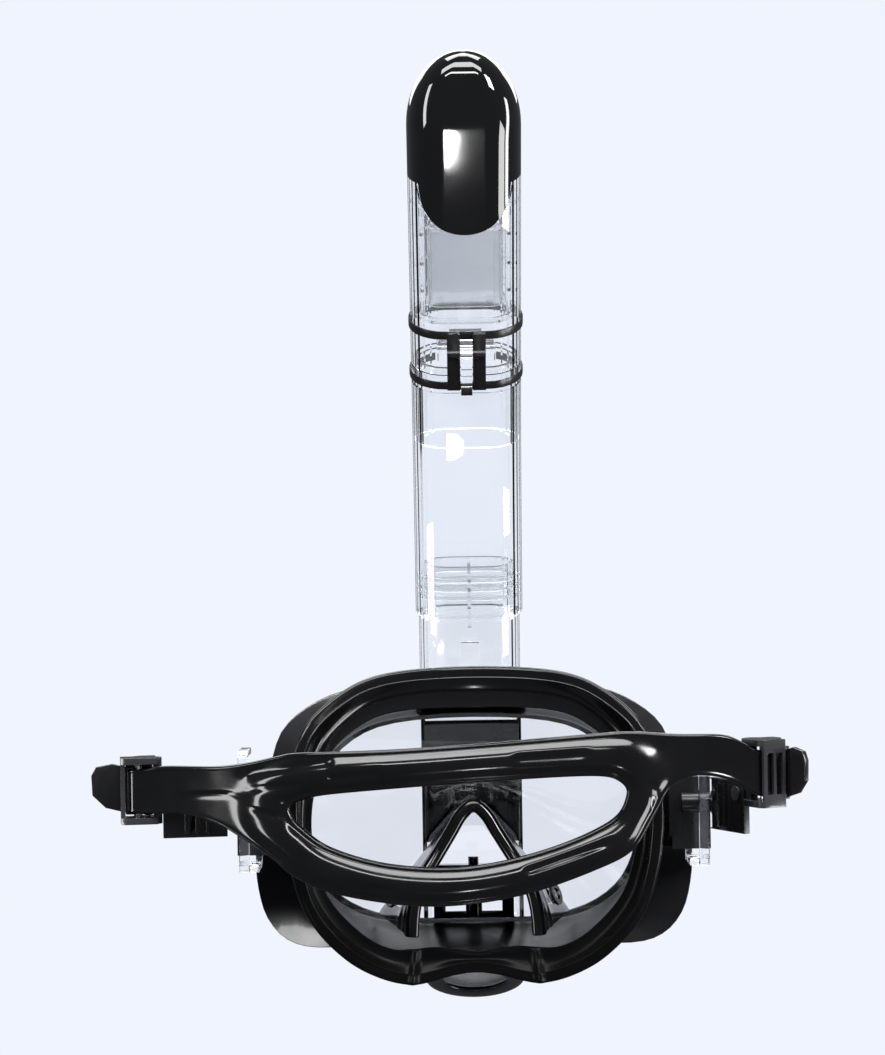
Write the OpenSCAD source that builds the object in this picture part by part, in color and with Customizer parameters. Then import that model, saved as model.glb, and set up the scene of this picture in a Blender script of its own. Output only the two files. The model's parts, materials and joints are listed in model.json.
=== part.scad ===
// Snorkelling mask with one central dry-top snorkel.
// Millimetres. +Z is up, +X runs across the face, the lens faces -Y and the wearer is on the +Y side.
// The origin is the centre of the face seal.

/* [Tube] */
// Width of the snorkel tube across the face
tube_w = 53; // [52:0.5:54]
// Depth of the snorkel tube from front to back
tube_d = 34; // [33.5:0.5:35]
// Wall of the clear tube
tube_wall = 2.2; // [2:0.1:2.4]
// Lean of the port towards the wearer, in degrees
port_lean = 12; // [11:1:13]
// Lean of the dry top, in degrees
top_lean = 30; // [29:1:31]
// Radius of the bend in the lower tube
bend_r = 325; // [320:5:330]

/* [Mask] */
// Radius of the cylinder that the lens is bent to
lens_r = 150; // [148:1:152]
// Thickness of the lens
lens_t = 3; // [2.5:0.5:3]
// Distance from the face seal to the front of the lens
lens_y = 78; // [77:1:79]
// Width of the air duct that climbs the front of the lens
duct_w = 47; // [46:1:48]

/* [Strap] */
// Thickness of the strap
strap_t = 3.2; // [2.8:0.2:3.4]
// Angle of the left arm away from straight out to the side, in degrees
arm_yaw_left = 8; // [6:1:10]
// Angle of the right arm away from straight out to the side, in degrees
arm_yaw_right = 64; // [63:1:66]

/* [Hidden] */
$fn = 64;
eps = 0.01;
gap = 0.3; // between two pieces that don't touch

// Lens cylinder: its axis stands parallel to Z
lens_axis_y = lens_r - lens_y;
frame_r_out = lens_r + 2;
frame_r_in = lens_r - lens_t;

// Snorkel tube
corner_r = 16.5;
port_y = -84; // axis of the tube where it meets the port's shoulder
port_z = 102;
straight_len = 28;
bend_deg = top_lean - port_lean;
seam_y = port_y + straight_len * sin(port_lean) + bend_r * (cos(port_lean) - cos(top_lean));
seam_z = port_z + straight_len * cos(port_lean) + bend_r * (sin(top_lean) - sin(port_lean));
collar_len = 10; // of the hinge socket, below the seam
collar_deg = collar_len / bend_r * 180 / PI;
spigot_deg = 31 / bend_r * 180 / PI;
port_w = 50;
port_d = 32;
port_below = 42; // length of the port under its shoulder, before it is cut level with its foot
port_foot_z = 70;
spigot_w = 44;
spigot_d = 25.6;
spigot_len = 25;

// What fits inside the tube
inside_w = tube_w - 2 * tube_wall - 0.4;
inside_d = tube_d - 2 * tube_wall - 0.4;
inside_r = corner_r - tube_wall - 0.2;

// Dry top, measured along its axis from the seam
ring_h = 4;
ring_drop = 3; // from the seam down to the lower ring
ring_proud = 0.9;
collar_top = 21.3;
cap_side_z = 97;
tongue_z = 73;
dome_z = 121;
dome_h = 35;
cage_w = 42;
cage_d = 25;
cage_bottom = 28;
cage_top = 84;
rib_levels = [39, 53, 68];
float_bottom = 33;
float_travel = 8;
pad_t = 2;
seat_z = cage_top + 0.2; // underside of the valve seat
float_top = seat_z - float_travel - pad_t - 0.1;
fold_y = -tube_d / 2 - 3.4; // hinge axis in the dry top's own frame
fold_z = 0.4;
fold_pin_r = 1.5;
knuckle_r = 3.2;
run_fit = 0.05; // radial clearance of a turning fit
latch_y = tube_d / 2 + 3.4;
latch_z = 13;
latch_pin_r = 1;
latch_w = 5.4;
leg_x = 6.1;
leg_w = 6.2;

// Duct and purge
duct_front_y = -106;
duct_bottom_z = -58;
duct_wall = 2.2;
purge_y = -68;
purge_z = -79;
purge_tilt = -148.7; // turns +Z to the way the purge faces, down and a little back
purge_r = 24.5;
purge_mouth_r = 16;

// Side pivots, arms and buckles
pivot_x = 116.5;
pivot_y = -12;
pivot_z = 12;
pivot_r = 2;
hub_r = 5.5;
block_in_x = 88.3;
block_end_x = 111.8;
arm_len = 30;
arm_h = 24;
buckle_lift_left = 10.5;
buckle_lift_right = 17;
cheek_z = 12.5;
cheek_t = 3;
roller_r = 2;
roller_x = 41.5;
roller_y = 2;
lever_x = 36.5;
lever_y = -6;
frame_end_x = 49.5; // outer end of the buckle frame
lever_pin_r = 1.2;
stud_x = 24.5; // rivet that holds the buckle on the arm
stud_z = 6.5;
stud_r = 2;
wrap_left = 63; // angle round the roller at which the strap meets it
wrap_right = 6;
wrap_tail = 8; // strap past the roller

// Half outlines, each from the top centre down the +X side to the bottom centre, as [x, z].
// Outer edge of the face flange
flange_half = [
    [0, 78], [28, 77], [47, 74], [61, 67.5], [75, 56], [82, 43], [86, 27], [87, 10], [86, -5],
    [84, -17], [79.5, -32], [71, -46], [58, -59], [44, -67], [31, -70.5], [21, -69.5], [11, -67], [0, -65.7]
];
// Inner, free edge of the face flange
lip_half = [
    [0, 59], [26, 58.5], [43, 56], [54, 50.5], [64, 42], [70, 32], [74, 21], [75.5, 9], [75, -3],
    [73, -14], [69, -26], [61.5, -37], [50, -48], [39, -53.5], [29, -54], [20, -53.5], [11, -54.5], [0, -56]
];
// Edge of the skirt where it is clamped behind the frame
base_half = [
    [0, 52], [28, 51], [47, 48], [60, 42], [70, 33.5], [77, 24], [81.5, 13], [83, 2], [82, -8],
    [80, -18], [75, -29], [67, -38], [56, -45], [43, -49.5], [31, -51.5], [21, -52], [11, -52], [0, -52]
];
// Outer edge of the frame with its side wings
frame_half = [
    [0, 66], [40, 66], [63, 64], [80, 57], [92, 46], [98, 27], [103, 5], [104.5, -12],
    [103.5, -28], [99.5, -43], [90.5, -54.5], [76, -60], [50, -60.5], [0, -57.5]
];
// Nose arch: its rim as [x, y, z] and its foot behind the lens as [x, z]
rim_half = [
    [0, -20, 11.5], [6, -19.5, 7], [11, -18, -1], [18, -15, -12], [24.5, -11, -22],
    [28, -9, -32], [29.5, -8.5, -41], [30, -8.5, -49.2]
];
foot_half = [[0, 5], [9, 1.5], [16, -6], [24, -16], [33, -27], [40, -36], [45, -42], [47, -45]];

// Strap outline as [x, z]
strap_top = [
    [165, 33], [153, 33], [145, 34.6], [119, 35], [104, 37], [89, 40.5], [79, 42], [37, 43.5], [-5, 46],
    [-56, 49.5], [-73, 50], [-92, 48.5], [-112, 47.8], [-120, 45.2],
    [-127, 41], [-132, 39.5], [-146, 39.5]
];
strap_bottom = [
    [-146, 18.5], [-131, 18.5], [-125, 21.2], [-115, 27], [-103, 29.5], [-93, 27], [-87, 22], [-80, 9.5],
    [-71, -4], [-54, -12.5], [-26, -22], [2, -27], [30, -27.5], [65, -22], [83, -14.5],
    [93, -6.5], [107, 2], [119, 8.5], [134, 12], [151, 12], [165, 12]
];
strap_slot = [
    [84, 17], [79, 20], [65, 23], [23, 26.5], [-19, 29], [-55, 30], [-66, 27], [-68.5, 21], [-61, 10],
    [-33, -2], [2, -9.5], [37, -8.5], [65, -1], [79, 8.5], [83, 13]
];
// Middle line of the strap seen from above between its two rollers, as [x, y]
strap_span = [
    [150, 2.2], [138, 6.4], [124, 12.5], [110, 19.5], [96, 26], [78, 33], [55, 38.5], [30, 41.5],
    [0, 43], [-30, 43.5], [-60, 43], [-85, 41], [-105, 38.6], [-118, 35.6], [-127, 32.2]
];

// ---- functions ----

// A closed outline through a half outline and its mirror image
function both_sides(half) = concat(
    half,
    [for (i = [len(half) - 2:-1:1]) [-half[i][0], half[i][1]]]
);

// One point of a Catmull-Rom curve between b and c
function curve_point(a, b, c, d, t) =
    0.5 * (2 * b + (c - a) * t + (2 * a - 5 * b + 4 * c - d) * t * t + (3 * b - a - 3 * c + d) * t * t * t);

function closed_curve(pts, steps) = [
    for (i = [0:len(pts) - 1], k = [0:steps - 1])
        curve_point(
            pts[(i + len(pts) - 1) % len(pts)], pts[i],
            pts[(i + 1) % len(pts)], pts[(i + 2) % len(pts)], k / steps
        )
];

function open_curve(pts, steps) = concat(
    [
        for (i = [0:len(pts) - 2], k = [0:steps - 1])
            curve_point(
                pts[max(i - 1, 0)], pts[i], pts[i + 1], pts[min(i + 2, len(pts) - 1)], k / steps
            )
    ],
    [pts[len(pts) - 1]]
);

function unit(v) = v / norm(v);

function backwards(v) = [for (i = [len(v) - 1:-1:0]) v[i]];

// Sideways direction of a flat curve at point i
function side_way(pts, i) =
    let (d = unit(pts[min(i + 1, len(pts) - 1)] - pts[max(i - 1, 0)])) [-d[1], d[0]];

// A band of thickness t along an open flat curve
function band(pts, t) = concat(
    [for (i = [0:len(pts) - 1]) pts[i] + side_way(pts, i) * t / 2],
    [for (i = [len(pts) - 1:-1:0]) pts[i] - side_way(pts, i) * t / 2]
);

// A rectangle w by d with round corners
function round_rect(w, d, r, steps = 7) =
    let (q = min(r, w / 2 - eps, d / 2 - eps))
    [
        for (c = [0:3], k = [0:steps])
            let (
                a = c * 90 + k * 90 / steps,
                sx = (c == 0 || c == 3) ? 1 : -1,
                sy = (c < 2) ? 1 : -1
            )
            [sx * (w / 2 - q) + q * cos(a), sy * (d / 2 - q) + q * sin(a)]
    ];

// Y of the lens cylinder of radius r at x
function lens_back_y(r, x) = lens_axis_y - sqrt(r * r - x * x);

// Y of the face flange, which bends back around the face
function flange_y(x) = -5 + 27 * pow(x / 86, 2);

// A point at x and y of an arm's own frame, seen from above
function arm_point(side, x, y) =
    let (a = side > 0 ? arm_yaw_left : arm_yaw_right)
    [side * (pivot_x + x * cos(a) - y * sin(a)), pivot_y + x * sin(a) + y * cos(a)];

// Middle line of the strap round a roller, from angle a0 to a1
function wrap_line(side, a0, a1, steps) = [
    for (k = [0:steps])
        let (a = a0 + (a1 - a0) * k / steps, r = roller_r + 0.15 + strap_t / 2)
        arm_point(side, roller_x + r * cos(a), roller_y + r * sin(a))
];

// End of the strap's tail, beyond the roller
function tail_end(side) = arm_point(side, roller_x - wrap_tail, roller_y - roller_r - 0.15 - strap_t / 2);

// ---- shared shapes ----

// A closed body through rings of points, each counterclockwise seen from the rings after it;
// a loop joins its last ring to its first
module skin(rings, loop = false) {
    n = len(rings[0]);
    m = len(rings);
    sides = [
        for (i = [0:m - (loop ? 1 : 2)], j = [0:n - 1])
            let (a = i * n + j, b = i * n + (j + 1) % n, c = ((i + 1) % m) * n + (j + 1) % n, d = ((i + 1) % m) * n + j)
            each [[a, c, b], [a, d, c]]
    ];
    ends = loop ? [] : [[for (j = [0:n - 1]) j], [for (j = [n - 1:-1:0]) (m - 1) * n + j]];
    polyhedron(points = [for (r = rings) each r], faces = concat(sides, ends), convexity = 10);
}

module port_place() {
    translate([0, port_y, port_z]) rotate([-port_lean, 0, 0]) children();
}

module top_place() {
    translate([0, seam_y, seam_z]) rotate([-top_lean, 0, 0]) children();
}

module purge_place() {
    translate([0, purge_y, purge_z]) rotate([purge_tilt, 0, 0]) children();
}

// side is 1 for the +X side and -1 for the other
module on_side(side) {
    if (side > 0) children();
    else mirror([1, 0, 0]) children();
}

module arm_place(side) {
    on_side(side)
        translate([pivot_x, pivot_y, pivot_z])
            rotate([0, 0, side > 0 ? arm_yaw_left : arm_yaw_right])
                children();
}

module buckle_place(side) {
    arm_place(side)
        translate([0, 0, side > 0 ? buckle_lift_left : buckle_lift_right])
            children();
}

module inhale_place(side) {
    on_side(side)
        translate([37.6, -44, -35])
            rotate([0, 0, 24])
                rotate([0, 70, 0])
                    children();
}

module tube_section(w, d, r) {
    polygon(round_rect(w, d, r));
}

module tube_wall_section(w, d, r, t) {
    difference() {
        tube_section(w, d, r);
        tube_section(w - 2 * t, d - 2 * t, r - t);
    }
}

module sleeve(w, d, r, t, z0, z1) {
    translate([0, 0, z0])
        linear_extrude(z1 - z0)
            tube_wall_section(w, d, r, t);
}

// A stretch of the tube's bend, from angle a0 to a1
module bend_sleeve(w, d, r, t, a0, a1) {
    port_place()
        translate([0, bend_r, straight_len])
            rotate([90, 0, -90])
                rotate([0, 0, a0])
                    rotate_extrude(angle = a1 - a0, $fn = 360)
                        translate([bend_r, 0])
                            tube_wall_section(d, w, r, t);
}

// The part of the lens cylinder's wall that an outline in X and Z keeps
module lens_shell(r_in, r_out) {
    intersection() {
        translate([0, lens_axis_y, -120])
            difference() {
                cylinder(r = r_out, h = 240, $fn = 180);
                translate([0, 0, -1]) cylinder(r = r_in, h = 242, $fn = 180);
            }
        rotate([90, 0, 0])
            linear_extrude(120)
                children();
    }
}

module pin_x(r, x0, x1) {
    translate([x0, 0, 0]) rotate([0, 90, 0]) cylinder(r = r, h = x1 - x0);
}

// ---- mask ----

module lens_air_window() {
    polygon([[-5, -4], [5, -4], [20.5, -22], [20.5, -50], [-20.5, -50], [-20.5, -22]]);
}

module base_outline(grow) {
    pts = closed_curve(both_sides(base_half), 2);
    n = len(pts);
    polygon([
        for (i = [0:n - 1])
            let (d = unit(pts[(i + 1) % n] - pts[(i + n - 1) % n])) pts[i] + grow * [-d[1], d[0]]
    ]);
}

module lens() {
    color("white", 0.3)
        lens_shell(frame_r_in, lens_r)
            difference() {
                base_outline(2.5);
                lens_air_window();
            }
}

module frame() {
    color("dimgray")
        difference() {
            lens_shell(frame_r_in, frame_r_out)
                difference() {
                    polygon(closed_curve(both_sides(frame_half), 3));
                    base_outline(-2.5);
                }
            lens_shell(frame_r_in - 1, lens_r + 0.1)
                base_outline(2.7);
        }
}

module skirt() {
    outer = closed_curve(both_sides(flange_half), 2);
    lip = closed_curve(both_sides(lip_half), 2);
    base = closed_curve(both_sides(base_half), 2);
    wall = 1.2; // half the thickness
    clamp_r = frame_r_in - 0.2;
    rings = [
        for (i = [0:len(outer) - 1])
            let (
                o = outer[i],
                l = lip[i],
                b = base[i],
                w = unit(o - l),
                yo = flange_y(o[0]),
                yl = flange_y(l[0]) - 2.5,
                yb = lens_back_y(clamp_r, abs(b[0]) + wall),
                m = b * 0.45 + o * 0.55,
                ym = yb * 0.45 + yo * 0.55 - 3
            )
            [
                [b[0] + w[0] * wall, yb, b[1] + w[1] * wall],
                [m[0] + w[0] * wall, ym, m[1] + w[1] * wall],
                [o[0], yo - 5, o[1]],
                [o[0] - w[0], yo, o[1] - w[1]],
                [l[0], yl, l[1]],
                [l[0], yl - 1.4, l[1]],
                [o[0] - w[0] * 2.6, yo - 4.6, o[1] - w[1] * 2.6],
                [m[0] - w[0] * wall, ym, m[1] - w[1] * wall],
                [b[0] - w[0] * wall, yb, b[1] - w[1] * wall]
            ]
    ];
    color("black") skin(backwards(rings), loop = true);
}

module nose_cup() {
    half = len(rim_half);
    rim_pts = concat(
        [for (i = [half - 1:-1:1]) [-rim_half[i][0], rim_half[i][1], rim_half[i][2]]],
        rim_half
    );
    foot_pts = concat(
        [for (i = [half - 1:-1:1]) [-foot_half[i][0], foot_half[i][1]]],
        foot_half
    );
    rim = open_curve(rim_pts, 2);
    foot = open_curve(foot_pts, 2);
    flat = [for (p = rim) [p[0], p[2]]];
    wall = 0.9; // half the thickness
    bead = 3;
    rings = [
        for (i = [0:len(rim) - 1])
            let (
                s = side_way(flat, i),
                r = rim[i],
                f = foot[i],
                yf = lens_back_y(frame_r_in - 0.2, abs(f[0]) + wall),
                k = [r[0] * 0.85 + f[0] * 0.15, r[1] - 6, r[2] * 0.85 + f[1] * 0.15]
            )
            [
                [f[0] + s[0] * wall, yf, f[1] + s[1] * wall],
                [k[0] + s[0] * wall, k[1], k[2] + s[1] * wall],
                [r[0] + s[0] * bead, r[1] - 3, r[2] + s[1] * bead],
                [r[0] + s[0] * bead * 0.7, r[1], r[2] + s[1] * bead * 0.7],
                [r[0] - s[0] * bead * 0.7, r[1], r[2] - s[1] * bead * 0.7],
                [r[0] - s[0] * bead, r[1] - 3, r[2] - s[1] * bead],
                [k[0] - s[0] * wall, k[1], k[2] - s[1] * wall],
                [f[0] - s[0] * wall, yf, f[1] - s[1] * wall]
            ]
    ];
    color("black")
        difference() {
            skin(backwards(rings));
            for (side = [-1, 1])
                inhale_place(side) {
                    translate([0, 0, -6]) cylinder(r = 4.2, h = 12, $fn = 32);
                    translate([0, 0, 1.2]) cylinder(r = 5.8, h = 8, $fn = 32);
                }
        }
}

module duct_back() {
    color("black")
        lens_shell(lens_r + 0.15, lens_r + 2.2)
            difference() {
                translate([-duct_w / 2, -12]) square([duct_w, 60]);
                polygon([[-22, -13], [-16, -6], [-7, 2], [7, 2], [16, -6], [22, -13]]);
            }
}

module duct_cover() {
    depth = -duct_front_y - 60;
    color("white", 0.3)
        difference() {
            translate([0, duct_front_y + depth / 2, duct_bottom_z])
                linear_extrude(port_foot_z - duct_bottom_z)
                    polygon(round_rect(duct_w + 3, depth, 6, 4));
            translate([0, duct_front_y + duct_wall + depth / 2, duct_bottom_z - 1])
                linear_extrude(port_foot_z - duct_bottom_z + 2)
                    polygon(round_rect(duct_w + 3 - 2 * duct_wall, depth, 4, 4));
            translate([0, lens_axis_y, -100]) cylinder(r = frame_r_out + 0.4, h = 200, $fn = 180);
        }
}

module exhale_channel() {
    color("black")
        union() {
            difference() {
                translate([-19.8, -80, -49.4]) cube([39.6, 7, 26.2]);
                translate([-17.8, -81, -50.4]) cube([35.6, 6, 25.2]);
                for (x = [-14, 4])
                    translate([x, -82, -46]) cube([10, 12, 5]);
            }
            translate([0, -73, -49]) cylinder(r = 2.6, h = 30);
        }
}

module purge_body() {
    neck_y0 = duct_front_y + 1;
    neck_y1 = -80.9;
    neck_z = duct_bottom_z - 0.4;
    color("black")
        union() {
            purge_place()
                difference() {
                    translate([0, 0, -6]) cylinder(r = purge_r, h = 6);
                    translate([0, 0, -7]) cylinder(r = 21.2, h = 5.5);
                    translate([0, 0, -2]) cylinder(r = purge_mouth_r, h = 3);
                }
            difference() {
                hull() {
                    translate([-23.5, neck_y0, neck_z - 1]) cube([47, neck_y1 - neck_y0, 1]);
                    purge_place() translate([0, 0, -7.4]) cylinder(r = purge_r - 0.9, h = 2.6, $fn = 32);
                }
                hull() {
                    translate([-21.5, neck_y0 + 2, neck_z - 0.9]) cube([43, neck_y1 - neck_y0 - 4, 1.2]);
                    purge_place() translate([0, 0, -7.6]) cylinder(r = 20.4, h = 3.2, $fn = 32);
                }
            }
        }
}

module purge_seat() {
    color("black")
        purge_place()
            translate([0, 0, -5.4])
                union() {
                    difference() {
                        cylinder(r = 20.1, h = 1.2);
                        translate([0, 0, -1]) cylinder(r = 15, h = 4);
                    }
                    for (a = [0, 60, 120])
                        rotate([0, 0, a]) translate([-17, -0.8, 0]) cube([34, 1.6, 1.2]);
                }
}

module purge_valve() {
    color("lightgray")
        purge_place()
            translate([0, 0, -3.9]) cylinder(r = 17.4, h = 0.8);
}

module inhale_seat(side) {
    color("black")
        inhale_place(side)
            difference() {
                translate([0, 0, 1.4]) cylinder(r = 5.4, h = 1.4);
                cylinder(r = 3, h = 4);
            }
}

module inhale_valve(side) {
    color("white")
        inhale_place(side)
            union() {
                translate([0, 0, 0.4]) cylinder(r = 3.9, h = 0.6);
                cylinder(r = 0.9, h = 4);
            }
}

// ---- port ----

module tube_port() {
    foot_y0 = duct_front_y - 1;
    foot_y1 = -74;
    color("white", 0.3)
        union() {
            difference() {
                port_place() {
                    sleeve(port_w, port_d, corner_r - 1, duct_wall, -port_below, 0);
                    sleeve(spigot_w, spigot_d, corner_r - 4, duct_wall, -2.4, spigot_len);
                    sleeve(port_w, port_d, corner_r - 1, (port_d - spigot_d) / 2 + duct_wall, -2.4, 0);
                }
                port_place() translate([-5, port_d / 2 - 4, -26]) cube([10, 8, 14]);
                translate([-40, -140, port_foot_z - 40]) cube([80, 100, 41]);
            }
            translate([0, (foot_y0 + foot_y1) / 2, port_foot_z + 0.1])
                linear_extrude(2.4)
                    difference() {
                        tube_section(port_w, foot_y1 - foot_y0, 9);
                        translate([0, -3]) tube_section(port_w - 10, foot_y1 - foot_y0 - 12, 6);
                    }
        }
}

module port_divider() {
    color("white", 0.4)
        port_place()
            translate([-0.8, -spigot_d / 2 + duct_wall + 0.1, -6])
                cube([1.6, spigot_d - 2 * duct_wall - 0.2, spigot_len + 4]);
}

module port_seal() {
    color("white", 0.6)
        port_place()
            for (z = [8.5, 13, 17.5])
                sleeve(spigot_w + 4, spigot_d + 3.4, corner_r - 2.2, 1.65, z, z + 2);
}

module port_catch() {
    color("white", 0.5)
        port_place()
            translate([-4.6, port_d / 2 - 1.9, -25.6]) cube([9.2, 2.6, 13.2]);
}

// ---- lower tube ----

module lower_tube() {
    color("white", 0.3)
        union() {
            port_place() sleeve(tube_w, tube_d, corner_r, tube_wall, 0.3, straight_len + eps);
            bend_sleeve(tube_w, tube_d, corner_r, tube_wall, 0, bend_deg - collar_deg);
        }
}

module hinge_socket() {
    slim = tube_wall + 0.15;
    color("white", 0.3)
        difference() {
            union() {
                bend_sleeve(tube_w, tube_d, corner_r, tube_wall + 2, bend_deg - collar_deg + 0.01, bend_deg);
                bend_sleeve(
                    tube_w - 2 * slim, tube_d - 2 * slim, corner_r - slim, 1.8,
                    bend_deg - collar_deg - spigot_deg, bend_deg - collar_deg + 0.1
                );
                top_place()
                    sleeve(tube_w - 2 * slim - 0.6, tube_d - 2 * slim - 0.6, corner_r - slim - 0.3, 1.5, -1, 3);
                top_place()
                    for (x = [-14, 8.2]) {
                        translate([x, fold_y, fold_z]) pin_x(knuckle_r, 0, 5.8);
                        translate([x, fold_y, fold_z - 6]) cube([5.8, 3.6, 5.7]);
                    }
            }
            top_place() translate([0, fold_y, fold_z]) pin_x(fold_pin_r, -20, 20);
        }
}

module ring_lower() {
    color("black")
        top_place()
            difference() {
                sleeve(
                    tube_w + 2 * ring_proud, tube_d + 2 * ring_proud, corner_r + ring_proud,
                    ring_proud - 0.2, -ring_drop - ring_h, -ring_drop
                );
                translate([-15, -tube_d, -10]) cube([30, tube_d - 12, 12]);
            }
}

module fold_pin() {
    color("silver") top_place() translate([0, fold_y, fold_z]) pin_x(fold_pin_r, -14, 14);
}

// ---- dry top ----

module upper_collar() {
    color("white", 0.3)
        top_place()
            difference() {
                union() {
                    sleeve(tube_w, tube_d, corner_r, tube_wall, 0.5, collar_top);
                    translate([0, fold_y, fold_z]) pin_x(knuckle_r, -7.8, 7.8);
                    translate([-7.8, fold_y, fold_z]) cube([15.6, 4.2, 7]);
                }
                translate([0, fold_y, fold_z]) pin_x(fold_pin_r + run_fit, -9, 9);
            }
}

// The upper ring carries two legs that hang over the seam and hold the latch between them
module ring_upper() {
    color("black")
        top_place()
            difference() {
                union() {
                    sleeve(
                        tube_w + 2 * ring_proud, tube_d + 2 * ring_proud, corner_r + ring_proud,
                        ring_proud - 0.05, collar_top - 1.8, collar_top + ring_h - 1.8
                    );
                    for (side = [-1, 1])
                        translate([side * leg_x - leg_w / 2, tube_d / 2 + 1.3, -6.2]) {
                            cube([leg_w, 2.2, 29.6]);
                            translate([0, -1.1, 25.7]) cube([leg_w, 3.3, 3.9]);
                        }
                    for (side = [-1, 1])
                        translate([side * leg_x - leg_w / 2, latch_y, latch_z]) pin_x(2.2, 0, leg_w);
                }
                translate([0, latch_y, latch_z]) pin_x(latch_pin_r, -10, 10);
            }
}

module latch_pin() {
    color("silver") top_place() translate([0, latch_y, latch_z]) pin_x(latch_pin_r, -8.8, 8.8);
}

// Outline of the cap's tongue on the back of the housing, as [x, z]
module tongue_outline(grow) {
    w = tube_w / 2 - 3.5 + grow;
    r = w - 2;
    translate([0, tongue_z - grow + r])
        circle(r = r, $fn = 96);
    translate([-r, tongue_z - grow + r])
        square([2 * r, cap_side_z - tongue_z + 10]);
}

module cap_region(grow) {
    rotate([90, 0, 0])
        translate([0, 0, -tube_d])
            linear_extrude(tube_d - 8)
                tongue_outline(grow);
}

module dry_housing() {
    color("white", 0.3)
        top_place()
            difference() {
                sleeve(tube_w, tube_d, corner_r, tube_wall, collar_top + 0.1, cap_side_z);
                cap_region(0.2);
                for (x = [-17, -5, 7])
                    translate([x, -tube_d, 86]) cube([10, tube_d, 7]);
            }
}

// One level of the dome, t from 0 at its foot to 1 at its tip
function dome_ring(w, d, r, h, t) =
    let (s = max(sqrt(max(1 - t * t, 0)), 0.12), sy = max(sqrt(max(1 - pow(t, 2.6), 0)), 0.12))
    [for (p = round_rect(w, d, r)) [p[0] * s, p[1] * sy, dome_z + h * t]];

// The cap's upper part, solid, shrunk by inset all round, with its foot at height foot
module dome(inset, foot) {
    w = tube_w - 2 * inset;
    d = tube_d - 2 * inset;
    levels = [0.2, 0.38, 0.55, 0.7, 0.82, 0.91, 0.97, 1];
    skin(concat(
        [[for (p = round_rect(w, d, corner_r - inset)) [p[0], p[1], foot]]],
        [for (t = levels) dome_ring(w, d, corner_r - inset, dome_h - inset, t)]
    ));
}

module cap() {
    color("black")
        top_place()
            union() {
                sleeve(tube_w, tube_d, corner_r, tube_wall, cap_side_z + 0.2, dome_z);
                intersection() {
                    sleeve(tube_w, tube_d, corner_r, tube_wall, tongue_z - 1, cap_side_z + 0.2);
                    cap_region(0);
                }
                difference() {
                    dome(0, dome_z);
                    dome(tube_wall, dome_z - 1);
                }
            }
}

module float_cage() {
    color("white", 0.4)
        top_place()
            union() {
                difference() {
                    sleeve(cage_w, cage_d, 8, 1.6, cage_bottom, cage_top);
                    for (side = [-1, 1])
                        translate([side * cage_w / 2 - 4, -5, cage_bottom + 6]) cube([8, 10, cage_top - cage_bottom - 12]);
                }
                intersection() {
                    for (z = rib_levels, side = [-1, 1])
                        translate([side * (cage_w / 2 + 2) - 3, -6, z]) cube([6, 12, 1.6]);
                    translate([0, 0, cage_bottom])
                        linear_extrude(cage_top - cage_bottom)
                            tube_section(inside_w, inside_d, inside_r);
                }
                difference() {
                    sleeve(inside_w, inside_d, inside_r, 4, cage_bottom - 1.6, cage_bottom);
                    translate([-10, -30, cage_bottom - 3]) cube([20, 22, 6]);
                }
            }
}

module dry_seat() {
    color("white", 0.4)
        top_place()
            difference() {
                translate([0, 0, seat_z])
                    linear_extrude(2)
                        tube_section(inside_w, inside_d, inside_r);
                for (x = [-7.5, 7.5])
                    translate([x, 0, cage_top - 1]) cylinder(r = 5, h = 5);
            }
}

// The float is a bell, open below, that holds air
module float_body() {
    wall = 1.4;
    color("white", 0.5)
        top_place()
            difference() {
                translate([0, 0, float_bottom])
                    linear_extrude(float_top - float_bottom)
                        tube_section(cage_w - 6, cage_d - 6, 6);
                translate([0, 0, float_bottom - 1])
                    linear_extrude(float_top - float_bottom - wall)
                        tube_section(cage_w - 6 - 2 * wall, cage_d - 6 - 2 * wall, 6 - wall);
            }
}

module float_pad() {
    color("white")
        top_place()
            translate([0, 0, float_top + 0.05])
                linear_extrude(pad_t)
                    tube_section(cage_w - 8, cage_d - 8, 5);
}

module latch() {
    color("white", 0.5)
        top_place()
            difference() {
                union() {
                    translate([0, latch_y, latch_z]) pin_x(2.3, -latch_w / 2, latch_w / 2);
                    translate([-latch_w / 2, latch_y - 0.9, -4]) cube([latch_w, 2.4, latch_z + 6]);
                }
                translate([0, latch_y, latch_z]) pin_x(latch_pin_r + run_fit, -5, 5);
            }
}

module latch_tip() {
    color("black")
        top_place()
            translate([-latch_w / 2, latch_y - 1.2, -8.2]) cube([latch_w, 3, 4.1]);
}

// ---- side blocks, clips and arms ----

module side_block(side) {
    color("black")
        on_side(side)
            difference() {
                union() {
                    intersection() {
                        translate([0, lens_axis_y, -20]) cylinder(r = frame_r_in - 0.2, h = 60, $fn = 180);
                        translate([block_in_x, -60, -10])
                            linear_extrude(34)
                                polygon([
                                    [0, 0], [block_end_x - block_in_x, 0], [block_end_x - block_in_x, 46],
                                    [4, 46], [0, 40]
                                ]);
                    }
                    translate([0, pivot_y, pivot_z]) pin_x(4.6, 98, block_end_x);
                }
                translate([0, pivot_y, pivot_z]) pin_x(pivot_r, 96, block_end_x + 1);
                translate([block_in_x, -20, -16]) cylinder(r = 8, h = 12);
            }
}

module side_clip(side) {
    color("white", 0.5)
        on_side(side) {
            translate([105.6, -7, -17]) cube([4.8, 2.4, 57]);
            translate([105.6, -28, 37]) cube([4.8, 21.5, 3]);
            translate([101, -30, -17]) cube([9.4, 24, 3]);
            translate([101, -30, -17]) cube([9.4, 3, 6.6]);
        }
}

module pivot_pin(side) {
    color("silver")
        on_side(side)
            translate([0, pivot_y, pivot_z]) {
                pin_x(pivot_r, 98, 119.6);
                pin_x(3, 119.5, 121);
            }
}

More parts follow.
